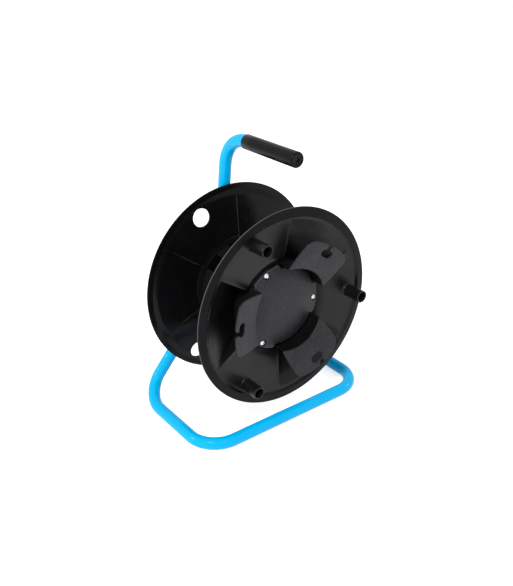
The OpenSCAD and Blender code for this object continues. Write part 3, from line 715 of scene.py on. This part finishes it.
def windingCore(plan):
    # strips between the webs, screw towers, hub tube and flat ribs
    reach, parts, ribIn, rib = plan["reach"], [], plan["hubOuter"] - 1, plan["rib"] / 2
    tower = [(0.05, -reach), (plan["towerRadius"], -reach), (plan["towerRadius"], reach), (0.05, reach)]
    for turn in armTurns:
        parts.append(curvedWall(plan, plan["wingHalf"], -reach, constant(reach), turn + pitch / 2))
        parts.append(curvedWall(plan, plan["towerHalf"], -reach, constant(reach), turn))
        place = turnedBy(turn)
        parts.append(flipped(turnedProfile(tower, lambda x, y, h: place(x + plan["towerCircle"], y, h), 40)))
        for extra, end in ((0, plan["towerCircle"]), (pitch / 2, plan["inner"] + 0.5)):
            strip = smoothLoop(np.array([(ribIn, -rib), (end, -rib), (end, rib), (ribIn, rib)]), 0.4, 0.8)
            top, bottom = constant(plan["ribReach"]), constant(-plan["ribReach"])
            parts.append(plate(strip, top, bottom, plan["ribEdge"], turnedBy(turn + extra)))
    hub, inner, outer = plan["hubReach"], plan["hubInner"], plan["hubOuter"]
    tube = [(inner, -hub), (outer, -hub), (outer, hub), (inner, hub), (inner, -hub)]
    points, faces = turnedProfile(tube, onDrum)
    # the tube's profile closes on itself, so its two caps are left out
    return parts + [flipped((points, faces[:-2]))]


wingPlan = {"tip": 104.5, "width": 80, "rootWidth": 75.4, "corner": 14, "front": 78, "tilt": 18,
            "thickness": 2.8, "edge": 0.8, "keyAt": 91.5, "keyLength": 20, "keyWidth": 11, "slot": 6,
            "slotShift": 3, "wallUnderFace": 1.2}


def arc(radius, start, end, step=1.5, centre=(0, 0)):
    # points on a circle about a centre, from one angle to another
    x, y = polar(radius, np.linspace(start, end, max(3, int(abs(end - start) / step) + 1)))
    return np.stack([centre[0] + x, centre[1] + y], -1)


def wingOutline(plan, core):
    # counter-clockwise: side, corner, outer arc, slot, round the keyhole, slot, outer arc, corner, root
    half, corner, tip, rootHalf = plan["width"] / 2, plan["corner"], plan["tip"], plan["rootWidth"] / 2
    cornerU = math.sqrt((tip - corner) ** 2 - (half - corner) ** 2)
    ray = math.degrees(math.asin((half - corner) / (tip - corner)))
    rootU = (core["inner"] + core["outer"]) / 2 * math.cos(math.radians(core["wallHalf"]))
    rootTurn = math.degrees(math.atan2(rootHalf, rootU))
    key, slot, shift, keyAt = plan["keyWidth"] / 2, plan["slot"] / 2, plan["slotShift"], plan["keyAt"]
    end = (plan["keyLength"] - plan["keyWidth"]) / 2
    turnAt = lambda v: math.degrees(math.asin(v / tip))
    keyStart = math.degrees(math.asin(min(1, (shift + slot - end) / key)))
    outline = [
        [(rootU, -rootHalf), (cornerU - corner, -half), (cornerU, -half)],
        arc(corner, -90, -ray, 4, (cornerU, corner - half)),
        arc(tip, -ray, turnAt(shift - 2 * slot), 1),
        [(tip - slot, shift - slot), (keyAt + key, shift - slot), (keyAt + key, -end)],
        arc(key, 0, -180, 6, (keyAt, -end)),
        arc(key, 180, keyStart, 6, (keyAt, end)),
        [(tip - slot, shift + slot)],
        arc(tip, turnAt(shift + 2 * slot), ray, 1),
        arc(corner, ray, 90, 4, (cornerU, half - corner)),
        [(cornerU - corner, half), (rootU, rootHalf)],
        arc(core["inner"], rootTurn, -rootTurn, 1.5),
    ]
    return smoothLoop(np.concatenate(outline), 0.45, 1.8)


def keyholeWings(plan, core):
    # tilted plates with a keyhole, and the curved walls that carry them and stop just under their faces
    tilt = math.radians(plan["tilt"])
    face = lambda x, y: plan["front"] + (x - core["inner"]) * math.tan(tilt)
    under = lambda x, y: face(x, y) - plan["thickness"] / math.cos(tilt)
    wallTop = lambda x, y: face(x, y) - plan["wallUnderFace"]
    web = drum["halfWidth"] - flangePlan["webDepth"]
    plates, walls = [], []
    for turn in armTurns + pitch / 2:
        plates.append(plate(wingOutline(plan, core), face, under, plan["edge"], turnedBy(turn)))
        walls.append(curvedWall(core, core["wingHalf"], core["reach"], constant(web), turn))
        walls.append(curvedWall(core, core["wallHalf"], web, wallTop, turn))
    return plates, walls


plates, walls = keyholeWings(wingPlan, corePlan)
# the core and the wing walls take the darker copy, painted shade deep between the flanges
makePiece("windingCore", windingCore(corePlan), shadedCoreFinish, "drum", "winding_core")
makePiece("keyholeWings", plates, finish["grained_black"], "drum", "keyhole_wings", 60)
makePiece("wingWalls", walls, shadedCoreFinish, "drum", "keyhole_wings", 60)
print("core and wings built")


coverPlan = {"radius": 58.2, "top": 3.5, "edgeDepth": 9, "bulge": 3.0, "edgeRound": 1.4, "lobeReach": 64,
             "lobeHalf": 22.5, "lobeDepth": 10.5, "lobeStart": 46, "lobeBulge": 2.4, "lobeRound": 0.7,
             "cornerWidth": 3.5, "foot": 15, "seat": 12.5, "recess": 5.0, "recessEdge": 0.35,
             "recessSlope": 7}


def coverAngles(plan, degreesPerMm):
    # angles of the columns: close together over each screw seat and at both ends of each lobe
    half = plan["lobeHalf"]
    seat = np.arange(-6.2, 6.3, 0.4) * degreesPerMm
    corner = plan["cornerWidth"] * (1 - np.cos(np.linspace(0, np.pi / 2, 12))) * degreesPerMm
    one = np.concatenate([seat, np.linspace(seat[-1], half - corner[-1], 14)[1:-1], half - corner[::-1],
                          [half + 0.06], np.linspace(half, pitch - half, 46)[1:-1], [pitch - half - 0.06],
                          pitch - half + corner,
                          np.linspace(pitch - half + corner[-1], pitch + seat[0], 14)[1:-1]])
    return np.concatenate([one + turn for turn in armTurns])


def hubCover(plan, core):
    # depth = top + (edge - top) * (r / radius) ^ bulge, round shoulder, then out over the lobes and down to
    # the web; the lobes' reach is a function of the angle, and round recesses are pressed in at the screws
    top, outerRadius, edge, foot = plan["top"], plan["radius"], plan["edgeRound"], plan["foot"]
    degreesPerMm = math.degrees(1 / outerRadius)
    degrees = coverAngles(plan, degreesPerMm)
    fromMiddle = np.abs((degrees + pitch / 2) % pitch - pitch / 2)
    fromEnd = np.clip((plan["lobeHalf"] - fromMiddle) / degreesPerMm / plan["cornerWidth"], 0, 1)
    lobe = np.sqrt(1 - (1 - fromEnd) ** 2)
    outer = outerRadius + (plan["lobeReach"] - outerRadius) * lobe
    bend = np.linspace(0, np.pi / 2, 6)
    dome = np.concatenate([np.linspace(0.05, 46, 30), np.arange(46.5, outerRadius - edge, 0.45)])
    inner = np.concatenate([dome, outerRadius - edge + edge * np.sin(bend)])
    share = np.minimum(inner, outerRadius - edge) / outerRadius
    domeDepth = top + (plan["edgeDepth"] - top) * share ** plan["bulge"]
    domeDepth[len(dome):] += edge * (1 - np.cos(bend))
    blend = np.clip((inner - plan["lobeStart"]) / (outerRadius - plan["lobeStart"]), 0, 1)
    blend = (blend * blend * (3 - 2 * blend))[:, None] * np.clip(lobe * 2, 0, 1)
    lobeDepth = lambda r: top + (plan["lobeDepth"] - top) * (r / plan["lobeReach"]) ** plan["lobeBulge"]
    innerDepth = domeDepth[:, None] * (1 - blend) + lobeDepth(inner)[:, None] * blend

    # beyond the shoulder the columns run over a lobe, or straight down where there is none
    startAt = outerRadius + 0.02
    ledgeRound = plan["lobeRound"] * np.where(lobe > 0, 1, 0.1)
    ledge = startAt + np.maximum(outer - ledgeRound - startAt, 0) * np.linspace(0, 1, 14)[:, None]
    ledgeDepth = np.where(lobe > 0, lobeDepth(np.minimum(ledge, plan["lobeReach"])), foot - 0.2)
    rim = np.maximum(outer - ledgeRound, outerRadius) + ledgeRound * np.sin(bend)[:, None]
    rimDepth = ledgeDepth[-1] + ledgeRound * (1 - np.cos(bend))[:, None]
    radius = np.concatenate([inner[:, None] + 0 * degrees, ledge, rim, outer[None, :]])
    depth = np.concatenate([innerDepth, ledgeDepth, rimDepth, foot + 0 * degrees[None, :]])
    x, y = polar(radius, degrees)
    for turn in armTurns:
        cx, cy = polar(core["towerCircle"], turn)
        far = np.hypot(x - cx, y - cy)
        pastFloor = np.clip(far - (plan["recess"] - plan["recessEdge"]), 0, None)
        pressed = plan["seat"] - plan["recessSlope"] * pastFloor
        depth = np.where(far < plan["recess"] + 0.6, np.maximum(depth, pressed), depth)
    return [(onDrum(x, y, drum["halfWidth"] - depth).reshape(-1, 3), cappedGrid(*radius.shape))]


screwPlan = {"headRadius": 4.3, "headHeight": 2.6, "dome": 0.75, "crossWidth": 1.25, "crossReach": 2.6,
             "crossDepth": 1.5, "shank": 2.1, "shankLength": 22, "twists": (25, 70, 48)}


def crossScrew(plan, place):
    # pan head: height falls as a rounded dome; the cross is pressed in where a point lies within either arm
    radius = plan["headRadius"] * np.sin(np.linspace(0.02, 1, 34) * np.pi / 2)[:, None]
    angle = np.linspace(0, 2 * np.pi, 112, endpoint=False)
    x, y = radius * np.cos(angle), radius * np.sin(angle)
    height = plan["headHeight"] * (1 - (radius / plan["headRadius"]) ** 4 * plan["dome"]) + 0 * x
    near, far = np.minimum(abs(x), abs(y)), np.maximum(abs(x), abs(y))
    inWidth = np.clip((plan["crossWidth"] / 2 - near) / 0.16 + 0.5, 0, 1)
    height = height - plan["crossDepth"] * inWidth * np.clip((plan["crossReach"] - far) / 0.3, 0, 1)
    lower = [(plan["headRadius"], 0), (plan["shank"], 0), (plan["shank"], -plan["shankLength"])]
    for ringRadius, ringHeight in lower:
        x = np.vstack([x, ringRadius * np.cos(angle)])
        y = np.vstack([y, ringRadius * np.sin(angle)])
        height = np.vstack([height, ringHeight + 0 * angle])
    return place(x, y, height).reshape(-1, 3), cappedGrid(*x.shape)


def coverScrews(plan, cover, core):
    # one screw over each tower, each with its cross at its own angle
    seat, screws = drum["halfWidth"] - cover["seat"], []
    for turn, twist in zip(armTurns, plan["twists"]):
        def place(x, y, h):
            px, py = rotated(x, y, twist)
            return turnedBy(turn)(core["towerCircle"] + px, py, seat + h)
        screws.append(crossScrew(plan, place))
    return screws


cover, screws = hubCover(coverPlan, corePlan), coverScrews(screwPlan, coverPlan, corePlan)
makePiece("hubCover", cover, finish["grained_black"], "drum", "hub_cover", 55)
makePiece("coverScrews", screws, finish["zinc_steel"], "drum", "cover_screws", 45)
print("cover built")


# each lamp has a place, a size and a power
studio = {"floorColour": 0.9, "floorSize": 6.0, "floorRoughness": 0.8, "floorLift": 0.66, "surround": 0.55,
          "lampsAimAt": (0, 0, 0.2),
          "lamps": {"key": ((-1.2, -0.8, 1.5), 0.25, 24), "side": ((1.8, -0.7, 1.2), 0.5, 7),
                    "back": ((-1.6, 0.7, 1.0), 0.4, 5)}}
view = {"azimuth": -36.72, "elevation": 28.13, "roll": -0.78, "distance": 1.12244, "aimHeight": 0.150,
        "focalPixels": 769.78, "centrePixels": (257.98, 310.89), "imagePixels": (513, 586), "sensorMm": 36}


def placeCamera(plan):
    # the camera looks at a point above the axle's foot from an azimuth and an elevation, a little rolled
    a, e, r = (math.radians(plan[key]) for key in ("azimuth", "elevation", "roll"))
    back = Vector((math.sin(a) * math.cos(e), -math.cos(a) * math.cos(e), math.sin(e)))
    right = (-back).cross(Vector((0, 0, 1))).normalized()
    up = right.cross(-back)
    turnedRight = math.cos(r) * right + math.sin(r) * up
    turnedUp = math.cos(r) * up - math.sin(r) * right
    lens = bpy.data.cameras.new("camera")
    camera = newObject("camera", lens)
    width, height = plan["imagePixels"]
    longSide = max(width, height)
    lens.sensor_width = plan["sensorMm"]
    lens.lens = plan["focalPixels"] * plan["sensorMm"] / longSide
    lens.shift_x = (width / 2 - plan["centrePixels"][0]) / longSide
    lens.shift_y = (plan["centrePixels"][1] - height / 2) / longSide
    place = Matrix((turnedRight, turnedUp, back)).transposed().to_4x4()
    aim = Vector((axle["x"], axle["y"], 0)) / perMetre + Vector((0, 0, plan["aimHeight"]))
    place.translation = aim + back * plan["distance"]
    camera.matrix_world = place
    bpy.context.scene.camera = camera


def placeLamps(plan):
    # round lamps, all aimed at one point
    for name, (place, size, power) in plan["lamps"].items():
        light = bpy.data.lights.new(name, "AREA")
        light.shape = "DISK"
        light.size = size
        light.energy = power
        lamp = newObject(name, light)
        lamp.location = place
        aim = Vector(plan["lampsAimAt"]) - Vector(place)
        lamp.rotation_euler = aim.to_track_quat("-Z", "Y").to_euler()


def mixSeen(tree, unseen, seen, output):
    # seen for rays from the camera, from a reflection and through glass, else unseen
    path = add(tree, "ShaderNodeLightPath")
    direct = path.outputs["Is Camera Ray"]
    for kind in ("Is Glossy Ray", "Is Transmission Ray"):
        direct = larger(tree, direct, path.outputs[kind])
    mix = add(tree, "ShaderNodeMixShader")
    tree.links.new(direct, mix.inputs[0])
    tree.links.new(unseen.outputs[0], mix.inputs[1])
    tree.links.new(seen.outputs[0], mix.inputs[2])
    tree.links.new(mix.outputs[0], output.inputs["Surface"])


def whiteSurround(strength):
    # soft even light from all round; what the camera, a reflection or glass sees of it is plain white
    world = bpy.data.worlds.new("studio")
    bpy.context.scene.world = world
    world.use_nodes = True
    tree = world.node_tree
    tree.nodes.clear()
    soft = add(tree, "ShaderNodeBackground", Color=(1, 1, 1, 1), Strength=strength)
    white = add(tree, "ShaderNodeBackground", Color=(1, 1, 1, 1), Strength=1.0)
    mixSeen(tree, soft, white, add(tree, "ShaderNodeOutputWorld"))


def paleFloor(plan):
    # wide flat floor, finely waved in colour so that it isn't a dead flat tone
    half, steps = plan["floorSize"] / 2, 9
    x, y = np.meshgrid(np.linspace(-half, half, steps), np.linspace(half, -half, steps))
    points = np.stack([x, y, 0 * x], -1).reshape(-1, 3)
    mesh = bpy.data.meshes.new("floor")
    mesh.from_pydata(points.tolist(), [], gridQuads(steps, steps, False).tolist())
    material, tree, shader = newMaterial("paleFloor")
    tones = [(tone, tone, tone, 1) for tone in (plan["floorColour"], plan["floorColour"] * 0.99)]
    tree.links.new(blendColour(tree, noise(tree, 3, 3), *tones), shader.inputs["Base Color"])
    shader.inputs["Roughness"].default_value = plan["floorRoughness"]
    # seen directly, the floor is lifted towards white, and the shadow on it stays
    lift = add(tree, "ShaderNodeEmission", Color=(1, 1, 1, 1), Strength=plan["floorLift"])
    both = add(tree, "ShaderNodeAddShader")
    tree.links.new(shader.outputs[0], both.inputs[0])
    tree.links.new(lift.outputs[0], both.inputs[1])
    mixSeen(tree, shader, both, tree.nodes["Material Output"])
    mesh.materials.append(material)
    newObject("floor", mesh)


placeCamera(view)
placeLamps(studio)
whiteSurround(studio["surround"])
paleFloor(studio)
bpy.context.scene.view_settings.view_transform = "Standard"
print("studio ready")
